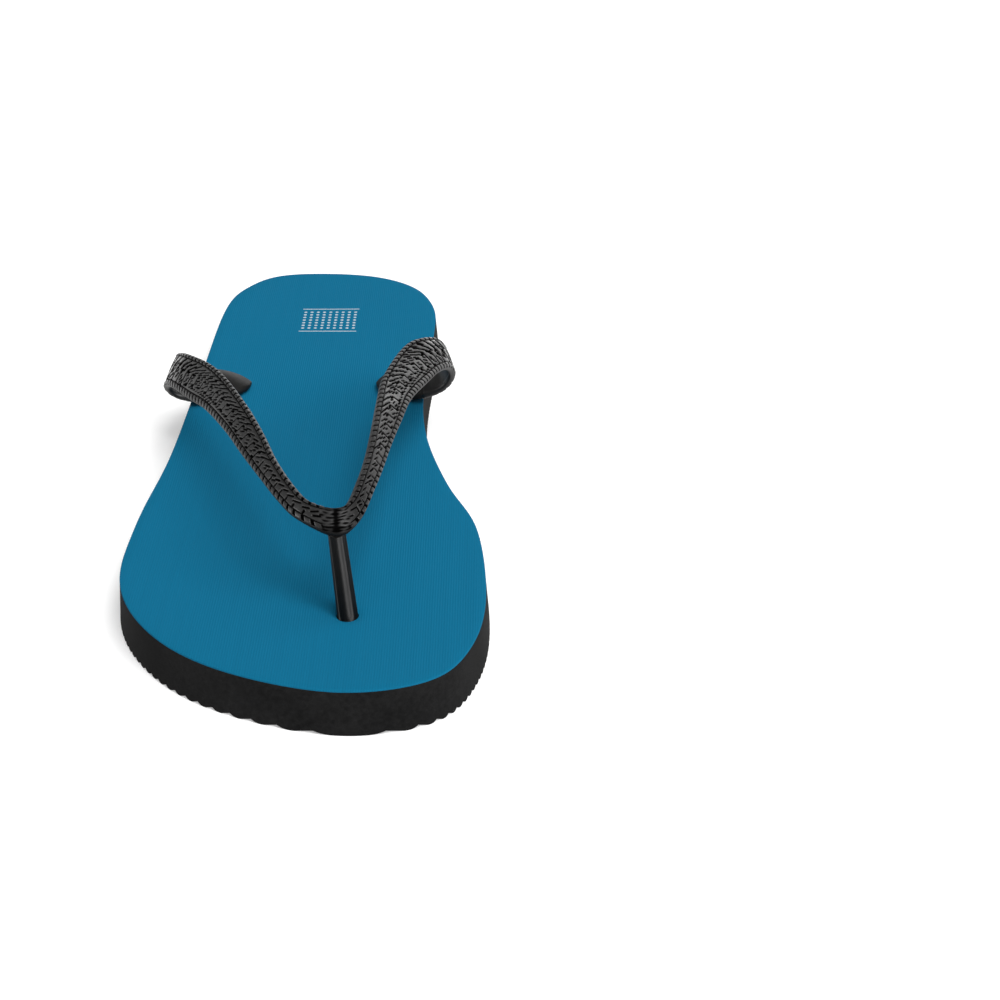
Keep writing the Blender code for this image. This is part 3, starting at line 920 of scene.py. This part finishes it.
def lathe(name, profile, centre, material):
    """A turned piece from a profile of radius and height, on its axis at both ends."""
    points, rings = [], []
    for radius, z in profile:
        if radius == 0:
            rings.append([len(points)] * ROUND_SIDES)
            points.append((*centre, z))
        else:
            rings.append(list(range(len(points), len(points) + ROUND_SIDES)))
            points += [(x, y, z) for x, y in circle(centre, radius, ROUND_SIDES)]
    faces = []
    for lower, upper in zip(rings, rings[1:]):
        for face in strip(lower, upper):
            faces.append(tuple(dict.fromkeys(face)))
    mesh = mesh_from(name, points, faces)
    shade(mesh, 30.0)
    return new_object(name, mesh, material)


def rounded(profile, radius, steps=5):
    """A profile whose inner corners are each an arc of about the radius."""
    done = [profile[0]]
    for before, corner, after in zip(profile, profile[1:], profile[2:]):
        before, corner, after = (np.array(p, float) for p in (before, corner, after))
        one, two = before - corner, after - corner
        reach = min(radius, 0.45 * np.linalg.norm(one), 0.45 * np.linalg.norm(two))
        start = corner + one / np.linalg.norm(one) * reach
        end = corner + two / np.linalg.norm(two) * reach
        for t in np.linspace(0, 1, steps):
            done.append(tuple((1 - t) ** 2 * start + 2 * t * (1 - t) * corner + t**2 * end))
    return done + [profile[-1]]


def plug_profile(node, stem_radius, stem_top):
    """A disc with a raised rim and a gate mark in its middle below, and its stem above."""
    low, high = node_box(node)
    radius = (high[0] - low[0]) / 2
    bottom = low[2]
    top = bottom + PLUG_THICKNESS
    return rounded(
        [
            (0.0, bottom + 0.15), (0.9, bottom + 0.15), (1.0, bottom + 0.55), (radius - 2.2, bottom + 0.55),
            (radius - 1.9, bottom), (radius - 0.3, bottom), (radius, bottom + 0.5), (radius, top - 0.4),
            (radius - 0.6, top), (stem_radius + 0.5, top), (stem_radius, top + 0.8), (stem_radius, stem_top),
            (0.0, stem_top),
        ],
        0.35,
    )


def make_plugs(material):
    """The toe post's plug and the two anchor plugs, whose stems run up into the tongues."""
    plugs = {}
    for node, centre in PLUGS:
        if node == "toe_plug":
            profile = plug_profile(node, POST_RADIUS, 5.0)
        else:
            profile = plug_profile(node, ANCHOR_RADIUS, FOOTBED_TOP + 1.2)
        plugs[node] = lathe(node.replace("anchor_plug", "anchor") + "_disc", profile, centre, material)
    return plugs


# ---------------------------------------------------------------- stage


def make_camera():
    """The photograph's viewing angle, 30 degrees down on the toe, with the shoe left of the middle."""
    camera = bpy.data.objects.new("camera", bpy.data.cameras.new("camera"))
    bpy.context.scene.collection.objects.link(camera)
    camera.location = (0.0569, -0.55396, 0.31259)
    camera.rotation_euler = (math.radians(60.0), 0.0, 0.0)
    camera.data.lens = 70.0
    camera.data.sensor_width = 36.0
    bpy.context.scene.camera = camera


def sun(name, azimuth, elevation, angle, strength):
    """A large far soft box: its azimuth from +x towards the heel, its elevation and its width, in degrees."""
    light = bpy.data.lights.new(name, "SUN")
    light.angle = math.radians(angle)
    light.energy = strength
    obj = bpy.data.objects.new(name, light)
    bpy.context.scene.collection.objects.link(obj)
    turn, rise = math.radians(azimuth), math.radians(elevation)
    towards = Vector((math.cos(rise) * math.cos(turn), math.cos(rise) * math.sin(turn), math.sin(rise)))
    obj.rotation_euler = towards.to_track_quat("Z", "Y").to_euler()
    return obj


def make_stage():
    """A white floor, a pale surround and soft boxes."""
    floor_material, tree, shader = new_material("white_floor")
    shader.inputs["Base Color"].default_value = (0.7, 0.7, 0.7, 1.0)
    shader.inputs["Roughness"].default_value = 0.9
    shader.inputs["Specular IOR Level"].default_value = 0.1
    shader.inputs["Emission Color"].default_value = (1.0, 1.0, 1.0, 1.0)
    shader.inputs["Emission Strength"].default_value = FLOOR_GLOW
    bm = bmesh.new()
    bmesh.ops.create_grid(bm, x_segments=1, y_segments=1, size=FLOOR_REACH)
    bmesh.ops.translate(bm, verts=bm.verts, vec=(0, 0, -FLOOR_GAP))
    mesh = bpy.data.meshes.new("floor")
    bm.to_mesh(mesh)
    bm.free()
    new_object("floor", mesh, floor_material)
    world = bpy.data.worlds.new("surround")
    bpy.context.scene.world = world
    world.use_nodes = True
    background = world.node_tree.nodes["Background"]
    background.inputs["Color"].default_value = (1.0, 1.0, 1.0, 1.0)
    background.inputs["Strength"].default_value = WORLD_STRENGTH
    for box in SOFT_BOXES:
        sun(*box)
    for box in HIGHLIGHT_BOXES:
        sun(*box).visible_diffuse = False
    scene = bpy.context.scene
    scene.view_settings.view_transform = "Standard"
    scene.view_settings.look = "None"


def main():
    make_camera()
    make_stage()
    outline = footbed_outline()
    fabric = footbed_material()
    foam = sole_material()
    satin = strap_material()
    gloss = post_material()

    sole = make_sole(outline, foam)
    lining = make_lining(outline, fabric)
    for piece, nodes, slot in (
        (sole, ("sole_forefoot", "sole_rearfoot"), "sole_rubber"),
        (lining, ("lining_forefoot", "lining_rearfoot"), "footbed_fabric"),
    ):
        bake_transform(piece)
        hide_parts(*nodes)

    strap = make_strap(satin)
    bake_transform(strap)
    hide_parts("y_strap")

    post = make_post(gloss)
    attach(post, "forefoot")
    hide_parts("toe_post")
    for node, plug in make_plugs(gloss).items():
        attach(plug, "forefoot" if node == "toe_plug" else "rearfoot")
        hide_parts(node)


main()
